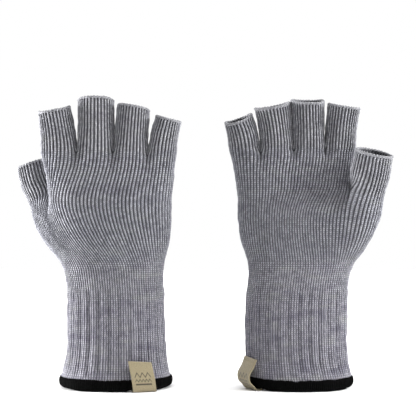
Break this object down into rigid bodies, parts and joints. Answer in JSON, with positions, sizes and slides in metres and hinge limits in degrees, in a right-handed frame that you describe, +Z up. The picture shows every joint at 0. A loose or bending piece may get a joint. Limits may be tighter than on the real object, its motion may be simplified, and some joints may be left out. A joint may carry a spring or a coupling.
{
  "type": "pair of fingerless gloves",
  "caption": "Pair of knitted fingerless gloves in worn shape: open finger and thumb tubes, fine-ribbed hand, broad-ribbed cuff, dark overlocked hem and a small folded label.",
  "frame": {"origin": "on the floor, at the bottom centre of the pair's bounding box, between the two gloves", "axes": "+Z up towards the finger openings, +X from glove_1 to glove_2, -Y the way glove_2's palm and glove_1's back face"},
  "size_m": [0.2708, 0.0812, 0.207],
  "materials": {
    "rib_knit": "broad-ribbed heather grey knit",
    "transition_knit": "heather grey knit",
    "hand_knit": "fine-ribbed heather grey knit",
    "finger_knit": "fine-ribbed heather grey knit",
    "cast_off_edge": "pale cast-off edge",
    "black_overlock": "black overlock thread",
    "elastic_yarn": "covered elastic yarn",
    "woven_label": "woven ribbon",
    "label_thread": "sewing thread"
  },
  "bodies": {
    "glove_1_wrist": {"glove_1_cuff": "rib_knit", "glove_1_hem": "black_overlock", "glove_1_cuff_elastic": "elastic_yarn", "glove_1_wrist_band": "transition_knit", "glove_1_label": "woven_label", "glove_1_label_stitching": "label_thread"},
    "glove_1_hand": {"glove_1_palm": "hand_knit"},
    "glove_1_index": {"glove_1_index_stall": "finger_knit", "glove_1_index_welt": "cast_off_edge"},
    "glove_1_middle": {"glove_1_middle_stall": "finger_knit", "glove_1_middle_welt": "cast_off_edge"},
    "glove_1_ring": {"glove_1_ring_stall": "finger_knit", "glove_1_ring_welt": "cast_off_edge"},
    "glove_1_little": {"glove_1_little_stall": "finger_knit", "glove_1_little_welt": "cast_off_edge"},
    "glove_1_thumb": {"glove_1_thumb_stall": "finger_knit", "glove_1_thumb_welt": "cast_off_edge"},
    "glove_2_wrist": {"glove_2_cuff": "rib_knit", "glove_2_hem": "black_overlock", "glove_2_cuff_elastic": "elastic_yarn", "glove_2_wrist_band": "transition_knit", "glove_2_label": "woven_label", "glove_2_label_stitching": "label_thread"},
    "glove_2_hand": {"glove_2_palm": "hand_knit"},
    "glove_2_index": {"glove_2_index_stall": "finger_knit", "glove_2_index_welt": "cast_off_edge"},
    "glove_2_middle": {"glove_2_middle_stall": "finger_knit", "glove_2_middle_welt": "cast_off_edge"},
    "glove_2_ring": {"glove_2_ring_stall": "finger_knit", "glove_2_ring_welt": "cast_off_edge"},
    "glove_2_little": {"glove_2_little_stall": "finger_knit", "glove_2_little_welt": "cast_off_edge"},
    "glove_2_thumb": {"glove_2_thumb_stall": "finger_knit", "glove_2_thumb_welt": "cast_off_edge"}
  },
  "joints": [
    {"name": "glove_1_wrist_bend", "type": "hinge", "parent": "glove_1_wrist", "child": "glove_1_hand", "pos_m": [-0.05932, 0.00006, 0.077], "axis": [-1, 0, 0], "range_deg": [-50, 55], "deforming": ["glove_1_wrist_band"]},
    {"name": "glove_1_index_bend", "type": "hinge", "parent": "glove_1_hand", "child": "glove_1_index", "pos_m": [-0.09977, 0.01256, 0.1693], "axis": [-1, 0, 0], "range_deg": [-5, 75]},
    {"name": "glove_1_middle_bend", "type": "hinge", "parent": "glove_1_hand", "child": "glove_1_middle", "pos_m": [-0.07377, 0.01256, 0.1693], "axis": [-1, 0, 0], "range_deg": [-5, 75]},
    {"name": "glove_1_ring_bend", "type": "hinge", "parent": "glove_1_hand", "child": "glove_1_ring", "pos_m": [-0.04857, 0.01256, 0.1693], "axis": [-1, 0, 0], "range_deg": [-5, 75]},
    {"name": "glove_1_little_bend", "type": "hinge", "parent": "glove_1_hand", "child": "glove_1_little", "pos_m": [-0.02607, 0.01256, 0.1693], "axis": [-1, 0, 0], "range_deg": [-5, 75]},
    {"name": "glove_1_thumb_swing", "type": "hinge", "parent": "glove_1_hand", "child": "glove_1_thumb", "pos_m": [-0.11665, 0.03582, 0.13255], "axis": [-0.9154, -0.2983, -0.2702], "range_deg": [0, 45]},
    {"name": "glove_2_wrist_bend", "type": "hinge", "parent": "glove_2_wrist", "child": "glove_2_hand", "pos_m": [0.07328, 0.00006, 0.077], "axis": [1, 0, 0], "range_deg": [-50, 55], "deforming": ["glove_2_wrist_band"]},
    {"name": "glove_2_index_bend", "type": "hinge", "parent": "glove_2_hand", "child": "glove_2_index", "pos_m": [0.10173, -0.01244, 0.1713], "axis": [1, 0, 0], "range_deg": [-5, 75]},
    {"name": "glove_2_middle_bend", "type": "hinge", "parent": "glove_2_hand", "child": "glove_2_middle", "pos_m": [0.07953, -0.01244, 0.1713], "axis": [1, 0, 0], "range_deg": [-5, 75]},
    {"name": "glove_2_ring_bend", "type": "hinge", "parent": "glove_2_hand", "child": "glove_2_ring", "pos_m": [0.05598, -0.01244, 0.1713], "axis": [1, 0, 0], "range_deg": [-5, 75]},
    {"name": "glove_2_little_bend", "type": "hinge", "parent": "glove_2_hand", "child": "glove_2_little", "pos_m": [0.03293, -0.01244, 0.1713], "axis": [1, 0, 0], "range_deg": [-5, 75]},
    {"name": "glove_2_thumb_swing", "type": "hinge", "parent": "glove_2_hand", "child": "glove_2_thumb", "pos_m": [0.11962, -0.03574, 0.13919], "axis": [0.9491, 0.2746, -0.154], "range_deg": [0, 45]},
    {"name": "glove_2_lift_away", "type": "slide", "parent": "glove_1_wrist", "child": "glove_2_wrist", "axis": [0, 0, 1], "range_m": [0, 0.25]}
  ]
}
